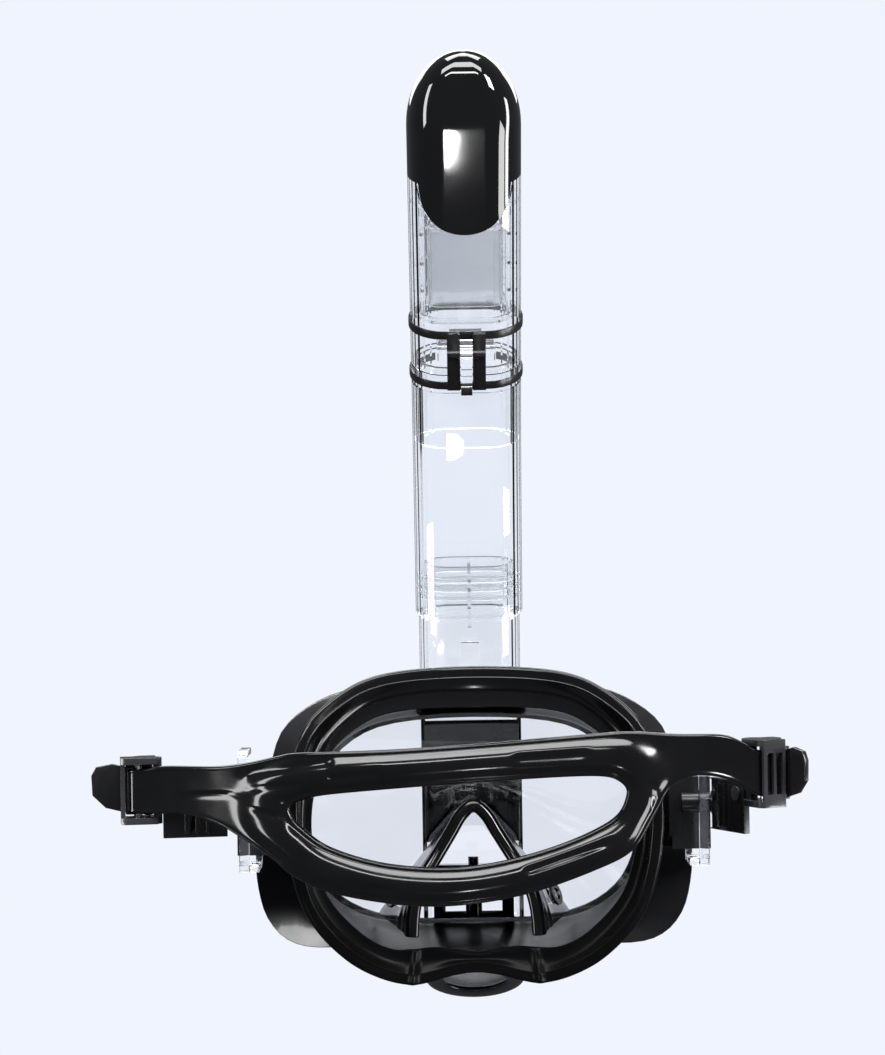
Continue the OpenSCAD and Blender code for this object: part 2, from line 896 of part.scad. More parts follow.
module arm(side) {
    color("black")
        difference() {
            union() {
                on_side(side) translate([0, pivot_y, pivot_z]) pin_x(hub_r, 112.2, 119.1);
                arm_place(side) {
                    translate([0, 3, -arm_h / 2]) cube([arm_len, 3, arm_h]);
                    translate([1, 6, 4]) rotate([-90, 0, 0]) cylinder(r = 4.3, h = 1.4);
                    for (x = [8, 13, 18])
                        translate([x, 5.9, -arm_h / 2 + 2]) cube([2, 1, arm_h - 4]);
                }
            }
            arm_place(side)
                translate([stud_x, 0, stud_z]) rotate([-90, 0, 0]) cylinder(r = stud_r + 0.1, h = 10);
            on_side(side) translate([0, pivot_y, pivot_z]) pin_x(pivot_r + run_fit, 111, 121);
            on_side(side) translate([0, pivot_y, pivot_z]) pin_x(3 + gap, 119.2, 121.4);
            // keeps the plate off the fixed lug when the strap swings
            on_side(side) translate([0, pivot_y, pivot_z]) pin_x(12, 100, block_end_x + gap);
        }
}

// The frame hangs on the arm by a tongue and a headed stud; its end plate has two slots
module buckle_frame(side) {
    height = 2 * (cheek_z + cheek_t);
    color("dimgray")
        union() {
            difference() {
                buckle_place(side) {
                    for (z = [-cheek_z - cheek_t, cheek_z])
                        translate([0, 0, z])
                            linear_extrude(cheek_t)
                                polygon([
                                    [33, -8.4], [40, -8.4], [44, -4.6], [frame_end_x, -4.6],
                                    [frame_end_x, 7], [47, 8.6], [33, 8.6], [31, 5], [31, 1], [33, -2]
                                ]);
                    translate([arm_len + 0.3, 1, -height / 2]) cube([4, 4, height]);
                    translate([frame_end_x - 2, -4.6, -height / 2]) cube([2, 11.6, height]);
                }
                buckle_place(side) {
                    for (y = [-3, 1.8])
                        translate([frame_end_x - 3, y, -9.5]) cube([4, 3.4, 19]);
                    translate([lever_x, lever_y, -20]) cylinder(r = lever_pin_r, h = 40);
                    translate([roller_x, roller_y, -14]) cylinder(r = roller_r, h = 28);
                }
            }
            arm_place(side) {
                translate([stud_x - 4, 0.2, stud_z - 4.5]) cube([arm_len + 2 - stud_x + 4, 2.5, 9]);
                translate([stud_x, 2, stud_z]) rotate([-90, 0, 0]) cylinder(r = stud_r, h = 5);
                translate([stud_x, 6.3, stud_z]) rotate([-90, 0, 0]) cylinder(r = 3.4, h = 1.2);
            }
        }
}

module roller(side) {
    color("silver")
        buckle_place(side)
            translate([roller_x, roller_y, -13.9]) cylinder(r = roller_r, h = 27.8);
}

module lever_pin(side) {
    color("silver") buckle_place(side) translate([lever_x, lever_y, -15.4]) cylinder(r = lever_pin_r, h = 30.8);
}

// A cam lever: its nose presses the strap's tail on the roller, its tab is for the finger
module lever(side) {
    half = cheek_z - 0.4;
    tab_x0 = 46;
    color("black")
        buckle_place(side)
            difference() {
                union() {
                    translate([lever_x, lever_y, -half]) cylinder(r = 2.3, h = 2 * half);
                    translate([lever_x, lever_y - 2.3, -half]) cube([tab_x0 - lever_x + 1, 2.3, 2 * half]);
                    translate([roller_x - 1, lever_y - 0.2, -half + 1.5]) cube([2.4, 2.3, 2 * half - 3]);
                    translate([0, lever_y, 0])
                        rotate([90, 0, 0])
                            linear_extrude(2.3)
                                polygon([
                                    [tab_x0, -11.5], [49, -10.6], [56.5, -8.6], [62.6, -2.6],
                                    [63, 6.5], [60.7, 10.6], [53, 12], [tab_x0, 10.2]
                                ]);
                }
                translate([lever_x, lever_y, -20]) cylinder(r = lever_pin_r + run_fit, h = 40);
            }
}

// ---- strap ----

module strap() {
    outline = concat(open_curve(strap_top, 3), open_curve(strap_bottom, 3));
    left = wrap_line(1, -90, wrap_left, 9);
    right = wrap_line(-1, wrap_right, -90, 6);
    line = concat(
        [tail_end(1)],
        [for (i = [0:len(left) - 2]) left[i]],
        open_curve(concat([left[len(left) - 1]], strap_span, [right[0]]), 3),
        [for (i = [1:len(right) - 1]) right[i]],
        [tail_end(-1)]
    );
    color("black")
        intersection() {
            rotate([90, 0, 0])
                translate([0, 0, -60])
                    linear_extrude(80)
                        difference() {
                            polygon(outline);
                            polygon(closed_curve(strap_slot, 4));
                        }
            translate([0, 0, -40])
                linear_extrude(100)
                    polygon(band(line, strap_t));
        }
}

lens();
frame();
skirt();
nose_cup();
duct_back();
duct_cover();
exhale_channel();
purge_body();
purge_seat();
purge_valve();
inhale_seat(1);  // inhale_seat_left
inhale_seat(-1);  // inhale_seat_right
inhale_valve(1);  // inhale_valve_left
inhale_valve(-1);  // inhale_valve_right
tube_port();
port_divider();
port_seal();
port_catch();
side_block(1);  // side_block_left
side_block(-1);  // side_block_right
side_clip(1);  // side_clip_left
side_clip(-1);  // side_clip_right
pivot_pin(1);  // pivot_pin_left
pivot_pin(-1);  // pivot_pin_right
lower_tube();
hinge_socket();
ring_lower();
fold_pin();
upper_collar();
ring_upper();
dry_housing();
float_cage();
dry_seat();
cap();
latch_pin();
latch();
latch_tip();
float_body();  // float
float_pad();
strap();
arm(1);  // arm_left
arm(-1);  // arm_right
buckle_frame(1);  // buckle_frame_left
buckle_frame(-1);  // buckle_frame_right
roller(1);  // roller_left
roller(-1);  // roller_right
lever_pin(1);  // lever_pin_left
lever_pin(-1);  // lever_pin_right
lever(1);  // lever_left
lever(-1);  // lever_right
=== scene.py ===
"""Looks of a snorkelling mask with a central dry snorkel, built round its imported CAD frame.

Everything is in the frame's own axes: +Z up along the tube, +X across the face, the wearer on the +Y side.
Shapes are worked out in millimetres and written to meshes in metres.
"""
import json
import math

import bmesh
import bpy
import numpy as np
from mathutils import Matrix, Vector


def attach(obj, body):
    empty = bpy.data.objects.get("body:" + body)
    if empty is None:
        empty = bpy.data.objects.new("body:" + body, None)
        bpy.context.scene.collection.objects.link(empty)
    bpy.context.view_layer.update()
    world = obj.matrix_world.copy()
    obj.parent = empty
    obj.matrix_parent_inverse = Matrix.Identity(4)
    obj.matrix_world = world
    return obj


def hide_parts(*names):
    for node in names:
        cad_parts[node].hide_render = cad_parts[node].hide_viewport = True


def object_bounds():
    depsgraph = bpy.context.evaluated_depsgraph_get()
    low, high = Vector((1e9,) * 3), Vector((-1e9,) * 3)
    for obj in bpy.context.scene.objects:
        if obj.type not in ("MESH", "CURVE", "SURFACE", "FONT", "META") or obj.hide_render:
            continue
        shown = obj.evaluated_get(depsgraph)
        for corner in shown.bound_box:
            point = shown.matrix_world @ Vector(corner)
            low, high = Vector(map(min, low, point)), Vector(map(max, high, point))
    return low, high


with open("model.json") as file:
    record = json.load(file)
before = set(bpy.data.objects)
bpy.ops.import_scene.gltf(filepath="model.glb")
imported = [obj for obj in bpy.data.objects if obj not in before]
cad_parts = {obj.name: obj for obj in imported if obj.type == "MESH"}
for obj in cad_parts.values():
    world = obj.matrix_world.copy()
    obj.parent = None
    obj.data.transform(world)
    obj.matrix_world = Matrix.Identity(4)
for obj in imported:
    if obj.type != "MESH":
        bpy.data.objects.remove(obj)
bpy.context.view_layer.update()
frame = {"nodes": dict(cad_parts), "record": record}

MM = 0.001
RECORD = frame["record"]
SLOT_OF = {part["node"]: part["material_slot"] for part in RECORD["subparts"]}
BODY_OF = {node: body for body, nodes in RECORD["behaviour"]["bodies"].items() for node in nodes}

# ---------------------------------------------------------------- dimensions, in millimetres
TUBE_W, TUBE_D, TUBE_WALL, CORNER_R = 53.0, 34.0, 2.2, 16.5
PORT_Y, PORT_Z, PORT_LEAN, TOP_LEAN = -84.0, 102.0, 12.0, 30.0
BEND_R, STRAIGHT_LEN = 325.0, 28.0
CAP_SIDE_Z, TONGUE_Z, DOME_Z, DOME_H = 97.0, 73.0, 121.0, 35.0
LENS_AXIS_Y, CLAMP_R = 72.0, 146.8
PURGE_Y, PURGE_Z, PURGE_TILT = -68.0, -79.0, -148.7
PURGE_R = 24.5  # outside of its round mouth
NECK_FRONT_Y, NECK_BACK_Y, NECK_Z, NECK_W = -105.0, -80.9, -58.5, 47.0  # top of the purge neck
STRAP_T = 3.2

# Half outlines from the top centre down the +X side to the bottom centre, as (x, z)
FLANGE_HALF = [
    (0, 78), (28, 77), (47, 74), (61, 67.5), (75, 56), (82, 43), (86, 27), (87, 10), (86, -5),
    (84, -17), (79.5, -32), (71, -46), (58, -59), (44, -67), (31, -70.5), (21, -69.5), (11, -67), (0, -65.7),
]
LIP_HALF = [
    (0, 59), (26, 58.5), (43, 56), (54, 50.5), (64, 42), (70, 32), (74, 21), (75.5, 9), (75, -3),
    (73, -14), (69, -26), (61.5, -37), (50, -48), (39, -53.5), (29, -54), (20, -53.5), (11, -54.5), (0, -56),
]
BASE_HALF = [
    (0, 52), (28, 51), (47, 48), (60, 42), (70, 33.5), (77, 24), (81.5, 13), (83, 2), (82, -8),
    (80, -18), (75, -29), (67, -38), (56, -45), (43, -49.5), (31, -51.5), (21, -52), (11, -52), (0, -52),
]
# Nose arch: rim as (x, y, z) and foot behind the lens as (x, z)
RIM_HALF = [
    (0, -20, 11.5), (6, -19.5, 7), (11, -18, -1), (18, -15, -12), (24.5, -11, -22),
    (28, -9, -32), (29.5, -8.5, -41), (30, -8.5, -49.2),
]
FOOT_HALF = [(0, 5), (9, 1.5), (16, -6), (24, -16), (33, -27), (40, -36), (45, -42), (47, -45)]


# ---------------------------------------------------------------- curves and meshes
def catmull(points, steps, closed=False):
    """A Catmull-Rom curve through points, with steps samples a span."""
    pts = np.array(points, float)
    n = len(pts)
    spans = n if closed else n - 1
    out = []
    for i in range(spans):
        if closed:
            a, b, c, d = (pts[(i + k) % n] for k in (-1, 0, 1, 2))
        else:
            a, b, c, d = pts[max(i - 1, 0)], pts[i], pts[i + 1], pts[min(i + 2, n - 1)]
        for t in np.arange(steps) / steps:
            out.append(0.5 * (2 * b + (c - a) * t + (2 * a - 5 * b + 4 * c - d) * t * t
                              + (3 * b - a - 3 * c + d) * t ** 3))
    if not closed:
        out.append(pts[-1])
    return np.array(out)


def both_sides(half):
    """A closed outline from its +X half."""
    return list(half) + [(-p[0], *p[1:]) for p in half[-2:0:-1]]


def across(half):
    """An open curve over the top from the -X end to the +X end of a half that starts on the mirror plane."""
    return [(-p[0], *p[1:]) for p in half[:0:-1]] + list(half)


def unit(v):
    return v / np.maximum(np.linalg.norm(v, axis=-1, keepdims=True), 1e-9)


def smooth_step(t):
    t = np.clip(t, 0, 1)
    return t * t * (3 - 2 * t)


def lens_y(radius, x):
    """Y of the lens cylinder of that radius."""
    return LENS_AXIS_Y - np.sqrt(radius ** 2 - np.square(x))


def make_mesh(name, verts, faces, material):
    """A smooth-shaded object from points in millimetres."""
    mesh = bpy.data.meshes.new(name)
    mesh.from_pydata([tuple(np.array(v, float) * MM) for v in verts], [], faces)
    mesh.materials.append(material)
    obj = bpy.data.objects.new(name, mesh)
    bpy.context.scene.collection.objects.link(obj)
    bm = bmesh.new()
    bm.from_mesh(mesh)
    bmesh.ops.remove_doubles(bm, verts=bm.verts, dist=1e-6)
    bmesh.ops.recalc_face_normals(bm, faces=bm.faces)
    bm.to_mesh(mesh)
    bm.free()
    mesh.shade_smooth()
    return obj


def ring_faces(rings, per_ring, loop_rings, caps=False):
    """Quads between rings of per_ring points, each ring closed."""
    faces = []
    for i in range(rings if loop_rings else rings - 1):
        for j in range(per_ring):
            k = (j + 1) % per_ring
            m = (i + 1) % rings
            faces.append((i * per_ring + j, i * per_ring + k, m * per_ring + k, m * per_ring + j))
    if caps:
        faces.append(tuple(range(per_ring))[::-1])
        faces.append(tuple((rings - 1) * per_ring + j for j in range(per_ring)))
    return faces


def bake_modifiers(obj):
    """Applies every modifier on obj to its mesh."""
    dg = bpy.context.evaluated_depsgraph_get()
    made = bpy.data.meshes.new_from_object(obj.evaluated_get(dg))
    obj.modifiers.clear()
    obj.data = made
    made.name = obj.name
    return obj


def subdivided(obj, levels=1):
    modifier = obj.modifiers.new("Subdivision", "SUBSURF")
    modifier.levels = modifier.render_levels = levels
    return bake_modifiers(obj)


def stands_for(obj, *nodes):
    """obj rides with its first node's body and hides those nodes."""
    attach(obj, BODY_OF[nodes[0]])
    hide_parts(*nodes)
    return obj


def top_matrix():
    """From the dry top's own frame, in millimetres, to the row frame."""
    lean0, lean1 = math.radians(PORT_LEAN), math.radians(TOP_LEAN)
    seam_y = PORT_Y + STRAIGHT_LEN * math.sin(lean0) + BEND_R * (math.cos(lean0) - math.cos(lean1))
    seam_z = PORT_Z + STRAIGHT_LEN * math.cos(lean0) + BEND_R * (math.sin(lean1) - math.sin(lean0))
    return Matrix.Translation((0, seam_y, seam_z)) @ Matrix.Rotation(-lean1, 4, "X")


def purge_matrix():
    turn = Matrix.Rotation(math.radians(PURGE_TILT), 4, "X")
    return Matrix.Translation((0, PURGE_Y, PURGE_Z)) @ turn


def inhale_matrix(side):
    spot = Matrix.Translation((side * 37.6, -44, -35)) @ Matrix.Rotation(math.radians(side * 24), 4, "Z")
    return spot @ Matrix.Rotation(math.radians(side * 70), 4, "Y")


def bore(obj, matrix, radius, low, high):
    """Cuts a round hole along the z axis of a frame, from low to high."""
    mesh = bpy.data.meshes.new("bore")
    bm = bmesh.new()
    bmesh.ops.create_cone(bm, cap_ends=True, segments=48, radius1=radius, radius2=radius, depth=high - low)
    middle = Matrix.Translation((0, 0, (low + high) / 2))
    bmesh.ops.transform(bm, matrix=Matrix.Scale(MM, 4) @ matrix @ middle, verts=bm.verts)
    bm.to_mesh(mesh)
    bm.free()
    cutter = bpy.data.objects.new("bore", mesh)
    bpy.context.scene.collection.objects.link(cutter)
    cut = obj.modifiers.new("Bore", "BOOLEAN")
    cut.operation, cut.object, cut.solver = "DIFFERENCE", cutter, "EXACT"
    bake_modifiers(obj)
    bpy.data.objects.remove(cutter)


def placed(points, matrix):
    return [tuple(matrix @ Vector(p)) for p in points]


# ---------------------------------------------------------------- materials
def new_material(name):
    mat = bpy.data.materials.new(name)
    mat.use_nodes = True
    tree = mat.node_tree
    return mat, tree, tree.nodes["Principled BSDF"]


def noise(tree, scale, detail=3.0, stretch=(1, 1, 1)):
    """Noise in the object's own metres."""
    coords = tree.nodes.new("ShaderNodeTexCoord")
    mapping = tree.nodes.new("ShaderNodeMapping")
    mapping.inputs["Scale"].default_value = stretch
    tex = tree.nodes.new("ShaderNodeTexNoise")
    tex.inputs["Scale"].default_value = scale
    tex.inputs["Detail"].default_value = detail
    tree.links.new(coords.outputs["Object"], mapping.inputs["Vector"])
    tree.links.new(mapping.outputs["Vector"], tex.inputs["Vector"])
    return tex.outputs["Fac"]


def ramped(tree, value, low, high):
    """Maps noise to a range."""
    node = tree.nodes.new("ShaderNodeMapRange")
    node.inputs["From Min"].default_value = 0.3
    node.inputs["From Max"].default_value = 0.7
    node.inputs["To Min"].default_value = low
    node.inputs["To Max"].default_value = high
    tree.links.new(value, node.inputs["Value"])
    return node.outputs["Result"]


def tinted(tree, value, dark, light):
    """Mixes two colours by noise."""
    node = tree.nodes.new("ShaderNodeMix")
    node.data_type = "RGBA"
    node.inputs["A"].default_value = (*dark, 1)
    node.inputs["B"].default_value = (*light, 1)
    tree.links.new(ramped(tree, value, 0, 1), node.inputs["Factor"])
    return node.outputs["Result"]


def bumped(tree, shader, value, strength, distance):
    node = tree.nodes.new("ShaderNodeBump")
    node.inputs["Strength"].default_value = strength
    node.inputs["Distance"].default_value = distance
    tree.links.new(value, node.inputs["Height"])
    tree.links.new(node.outputs["Normal"], shader.inputs["Normal"])


def moulded(name, dark, light, rough, grain=900.0, bump=0.05, depth=0.00006, coat=0.0, specular=0.5):
    """An opaque moulded plastic or rubber: colour and roughness drift, and fine grain."""
    mat, tree, shader = new_material(name)
    tree.links.new(tinted(tree, noise(tree, 35), dark, light), shader.inputs["Base Color"])
    tree.links.new(ramped(tree, noise(tree, 60, 4), *rough), shader.inputs["Roughness"])
    bumped(tree, shader, noise(tree, grain, 5), bump, depth)
    shader.inputs["Coat Weight"].default_value = coat
    shader.inputs["Coat Roughness"].default_value = 0.06
    shader.inputs["Specular IOR Level"].default_value = specular
    return mat


def shade_below(mat, low, high):
    """Painted shade: fades a material's shine out from the height high down to the height low, in metres, so
    its lower part reads darker as if in shade.
    """
    tree, shader = mat.node_tree, mat.node_tree.nodes["Principled BSDF"]
    coords, split = tree.nodes.new("ShaderNodeTexCoord"), tree.nodes.new("ShaderNodeSeparateXYZ")
    tree.links.new(coords.outputs["Object"], split.inputs["Vector"])
    for name, dull, shiny in (("Specular IOR Level", 0.1, 0.5), ("Roughness", 0.3, 0.12)):
        fade = tree.nodes.new("ShaderNodeMapRange")
        for socket, value in (("From Min", low), ("From Max", high), ("To Min", dull), ("To Max", shiny)):
            fade.inputs[socket].default_value = value
        tree.links.new(split.outputs["Z"], fade.inputs["Value"])
        tree.links.new(fade.outputs["Result"], shader.inputs[name])
    return mat


def see_through(name, dark, light, rough, transmission=1.0, ior=1.49, bump=0.02):
    """A clear or smoky moulded plastic with faint flow marks."""
    mat, tree, shader = new_material(name)
    tree.links.new(tinted(tree, noise(tree, 25, 2), dark, light), shader.inputs["Base Color"])
    tree.links.new(ramped(tree, noise(tree, 80, 3), *rough), shader.inputs["Roughness"])
    bumped(tree, shader, noise(tree, 70, 2, (1, 1, 0.35)), bump, 0.0001)
    shader.inputs["Transmission Weight"].default_value = transmission
    shader.inputs["IOR"].default_value = ior
    return mat


def brushed(name):
    mat, tree, shader = new_material(name)
    colour = tinted(tree, noise(tree, 90), (0.42, 0.42, 0.44), (0.62, 0.62, 0.64))
    tree.links.new(colour, shader.inputs["Base Color"])
    tree.links.new(ramped(tree, noise(tree, 700, 4, (0.1, 1, 1)), 0.18, 0.34), shader.inputs["Roughness"])
    shader.inputs["Metallic"].default_value = 1.0
    return mat


RUBBER_BLACK = {"dark": (0.0028, 0.0028, 0.0032), "light": (0.0045, 0.0045, 0.005)}
SILICONE = moulded("black_silicone", **RUBBER_BLACK, rough=(0.08, 0.15), grain=1400, bump=0.03)
# Painted shade: the skirt loses its shine towards its bottom, so its lower part reads darker.
SKIRT = shade_below(
    moulded("black_skirt_silicone", **RUBBER_BLACK, rough=(0.11, 0.2), grain=1400, bump=0.03), -0.02, 0.045)
GLOSS = moulded("black_gloss_plastic", (0.0022, 0.0022, 0.0026), (0.0035, 0.0035, 0.004), (0.02, 0.05),
                grain=500, bump=0.01, coat=0.5)
SATIN = moulded("black_satin_plastic", (0.005, 0.005, 0.006), (0.01, 0.01, 0.011), (0.22, 0.34),
                grain=1600, bump=0.12)
SMOKY = moulded("smoky_plastic", (0.026, 0.026, 0.029), (0.038, 0.038, 0.042), (0.16, 0.26),
                grain=1200, bump=0.06, coat=0.35)
BUCKLE = moulded("buckle_plastic", (0.022, 0.022, 0.025), (0.036, 0.036, 0.04), (0.14, 0.22),
                 grain=1400, bump=0.08, coat=0.5)
CLEAR = see_through("clear_plastic", (0.955, 0.965, 0.975), (0.985, 0.99, 0.995), (0.0, 0.015))
# Grey tint: partly the lens's own tint, partly painted shade standing in for the shadow that falls behind the
# lens.
LENS = see_through("lens_plastic", (0.86, 0.87, 0.885), (0.9, 0.91, 0.92), (0.0, 0.02))
MILKY = see_through("milky_silicone", (0.93, 0.945, 0.96), (0.975, 0.98, 0.985), (0.14, 0.26),
                    transmission=0.88, ior=1.41)
STEEL = brushed("brushed_steel")
FINISH = {
    "clear_plastic": CLEAR, "smoky_plastic": SMOKY, "buckle_plastic": BUCKLE, "silicone": SILICONE,
    "black_gloss": GLOSS, "black_satin": SATIN, "milky_silicone": MILKY, "steel": STEEL,
}


# ---------------------------------------------------------------- rigid parts that keep their CAD shape
def finish_cad():
    """Every CAD node gets its finish; those that a piece replaces are hidden later."""
    for name, obj in frame["nodes"].items():
        material = {"lens": LENS, "float": MILKY}.get(name, FINISH[SLOT_OF[name]])
        for slot in obj.material_slots:
            slot.material = material


def softened(node, width, name):
    """The node's own shape with its sharp edges rounded, as moulded plastic has them."""
    source = frame["nodes"][node]
    mesh = source.data.copy()
    mesh.name = name
    obj = bpy.data.objects.new(name, mesh)
    bpy.context.scene.collection.objects.link(obj)
    bm = bmesh.new()
    bm.from_mesh(mesh)
    bmesh.ops.remove_doubles(bm, verts=bm.verts, dist=2e-6)
    bmesh.ops.dissolve_limit(bm, angle_limit=math.radians(0.6), verts=bm.verts, edges=bm.edges)
    bm.to_mesh(mesh)
    bm.free()
    bevel = obj.modifiers.new("Bevel", "BEVEL")
    bevel.width = width * MM
    bevel.segments = 3
    bevel.limit_method = "ANGLE"
    bevel.angle_limit = math.radians(32)
    bevel.use_clamp_overlap = True
    bake_modifiers(obj)
    obj.data.shade_smooth()
    obj.data.set_sharp_from_angle(angle=math.radians(38))
    return stands_for(obj, node)


# ---------------------------------------------------------------- skirt
def flange_y(x):
    return -5 + 27 * np.square(x / 86)


def build_skirt():
    """Face skirt: clamp edge, folding wall, wide flange with a raised sealing line and a thin inner lip."""
    steps = 12
    outer = catmull(both_sides(FLANGE_HALF), steps, closed=True)
    lip = catmull(both_sides(LIP_HALF), steps, closed=True)
    base = catmull(both_sides(BASE_HALF), steps, closed=True)
    w = unit(outer - lip)
    y_o, y_l = flange_y(outer[:, 0]), flange_y(lip[:, 0]) - 2.5
    y_b = lens_y(CLAMP_R - 0.4, np.abs(base[:, 0]) + 1.2)
    # The two creases that run down from the nose arch across the lip flange
    low = outer[:, 1] < -40
    crease = np.where(low, np.exp(-np.square((np.abs(outer[:, 0]) - 30) / 1.9)), 0) * 3.0

    def wall(t, off, out):
        """A point t of the way from clamp edge to flange, off millimetres out from the wall's middle."""
        xz = base * (1 - t) + outer * t + w * (off + out)
        y = y_b * (1 - t) + (y_o - 5) * t - 3.5 * math.sin(math.pi * t)
        return xz, y

    def face(d, y, lift=0.0):
        """A point on the flange, d millimetres in from its edge."""
        return outer - w * d, y_o + y + crease * lift

    span = np.linalg.norm(outer - lip, axis=1)

    def lip_in(s, y):
        """A point s of the way from the flange's edge to the lip."""
        return outer - w * (span * s)[:, None], y_o * (1 - s) + y_l * s + y + crease * (1 - 0.4 * s)

    fold = [0.0, 0.4, 1.1, 0.6, -0.3, -0.5, 0.1, 0.4, 0.2]
    levels = [0.0, 0.06, 0.16, 0.3, 0.44, 0.58, 0.72, 0.86, 0.95]
    section = [wall(t, 1.3, f) for t, f in zip(levels, fold)]
    section += [face(0.2, -4.4), face(-0.2, -2.6), face(0.0, -0.9, 0.6)]
    sealing_face = [(0.7, -0.15), (2.4, -0.1), (4.5, -0.35), (4.9, -0.3), (5.1, 0.05), (5.3, -0.35),
                    (5.8, -0.5)]
    section += [face(d, y, 1) for d, y in sealing_face]
    section += [lip_in(0.55, -1.4), lip_in(0.72, -1.3), lip_in(0.86, -0.7), lip_in(0.96, -0.1)]
    section += [(lip, y_l + 0.25), (lip - w * 0.35, y_l - 0.3), (lip, y_l - 0.9)]
    section += [lip_in(0.9, -2.6), lip_in(0.7, -3.6), lip_in(0.5, -4.2), face(4.4, -4.8), face(3.4, -6.2)]
    section += [wall(t, -1.3, f) for t, f in zip(levels[::-1], fold[::-1])]
    n = len(section)
    verts = np.empty((len(outer), n, 3))
    for j, (xz, y) in enumerate(section):
        verts[:, j, 0], verts[:, j, 1], verts[:, j, 2] = xz[:, 0], y, xz[:, 1]
    obj = make_mesh("face_skirt", verts.reshape(-1, 3), ring_faces(len(outer), n, True), SKIRT)
    return stands_for(subdivided(obj), "skirt")


def build_nose_arch():
    """Nose pocket: a round bead along its rim, a web to the lens and two thin ridges outside the bead."""
    steps = 6
    rim = catmull(across(RIM_HALF), steps)
    foot = catmull(across(FOOT_HALF), steps)
    flat = rim[:, [0, 2]]
    along = unit(np.gradient(flat, axis=0))
    side = np.stack([-along[:, 1], along[:, 0]], axis=1)
    side3 = np.stack([side[:, 0], np.zeros(len(side)), side[:, 1]], axis=1)
    end = np.stack([foot[:, 0], lens_y(CLAMP_R - 0.4, np.abs(foot[:, 0]) + 0.9), foot[:, 1]], axis=1)
    down = unit(end - rim)
    reach = np.linalg.norm(end - rim, axis=1)[:, None]
    bead = 3.4

    def web(a, off):
        return rim + down * (bead * 0.8 + (reach - bead * 0.8) * a) + side3 * off

    ring = [web(1.0, 0.9), web(0.6, 0.9), web(0.34, 0.9), web(0.3, 1.9), web(0.26, 0.95),
            web(0.2, 0.95), web(0.16, 2.1), web(0.12, 1.0), web(0.05, 1.1)]
    for phi in np.radians(np.linspace(-40, 220, 9)):
        ring.append(rim + side3 * bead * math.cos(phi) - down * bead * math.sin(phi))
    ring += [web(0.05, -1.1), web(0.3, -0.9), web(0.6, -0.9), web(1.0, -0.9)]
    n = len(ring)
    verts = np.stack(ring, axis=1).reshape(-1, 3)
    obj = subdivided(make_mesh("nose_arch", verts, ring_faces(len(rim), n, False, caps=True), SILICONE))
    for side in (1, -1):
        for radius, low, high in ((4.2, -6.0, 6.0), (5.8, 1.2, 9.2)):
            bore(obj, inhale_matrix(side), radius, low, high)
    obj.data.shade_smooth()
    obj.data.set_sharp_from_angle(angle=math.radians(50))
    return stands_for(obj, "nose_cup")


# ---------------------------------------------------------------- dry top's cap
def rounded_section(w, d, r, count):
    """Points round a rounded rectangle, evenly spaced by angle of travel, counterclockwise from +X."""
    q = min(r, d / 2 - 0.01, w / 2 - 0.01)
    straight_x, straight_y, arc = w - 2 * q, d - 2 * q, q * math.pi / 2
    total = 2 * (straight_x + straight_y) + 4 * arc
    points = []
    for s in np.arange(count) / count * total:
        s = (s + straight_y / 2) % total
        for corner in range(4):
            run = straight_y if corner % 2 == 0 else straight_x
            if s < run:
                break
            s -= run
            if s < arc:
                run = None
                break
            s -= arc
        cx = (w / 2 - q) * (1 if corner in (0, 3) else -1)
        cy = (d / 2 - q) * (1 if corner in (0, 1) else -1)
        a = math.radians(90 * corner)
        ux, uy = math.cos(a), math.sin(a)
        if run is None:
            a += s / q
            points.append((cx + q * math.cos(a), cy + q * math.sin(a)))
        else:
            points.append((cx + q * ux + (run - s) * uy, cy + q * uy - (run - s) * ux))
    return np.array(points)


def build_cap():
    """Glossy cap: a dome over the rounded section, with a round tongue down the wearer's side."""
    count = 160
    outline = rounded_section(TUBE_W, TUBE_D, CORNER_R, count)
    radius = TUBE_W / 2 - 5.5
    x, y = outline[:, 0], outline[:, 1]
    dip = TONGUE_Z + radius - np.sqrt(np.maximum(radius ** 2 - x ** 2, 0))
    foot = np.where((y > 0) & (np.abs(x) < radius), np.minimum(dip, CAP_SIDE_Z + 0.2), CAP_SIDE_Z + 0.2)
    rings = []
    for t in np.linspace(0, 1, 12):
        z = foot * (1 - t) + DOME_Z * t
        rings.append(np.stack([x, y, z], axis=1))
    for a in np.linspace(6, 88, 20):
        t = math.sin(math.radians(a))
        sx, sy = math.sqrt(1 - t * t), math.sqrt(1 - t ** 2.6)
        rings.append(np.stack([x * sx, y * sy, np.full(count, DOME_Z + DOME_H * t)], axis=1))
    verts = placed(np.concatenate(rings), top_matrix())
    faces = ring_faces(len(rings), count, False)
    tip = len(verts)
    verts.append(tuple(top_matrix() @ Vector((0, 0, DOME_Z + DOME_H))))
    last = (len(rings) - 1) * count
    faces += [(last + j, last + (j + 1) % count, tip) for j in range(count)]
    obj = make_mesh("dry_top_cap", verts, faces, GLOSS)
    shell = obj.modifiers.new("Shell", "SOLIDIFY")
    shell.thickness = TUBE_WALL * MM
    shell.offset = -1
    bake_modifiers(obj)
    obj.data.shade_smooth()
    obj.data.set_sharp_from_angle(angle=math.radians(50))
    return stands_for(obj, "cap")


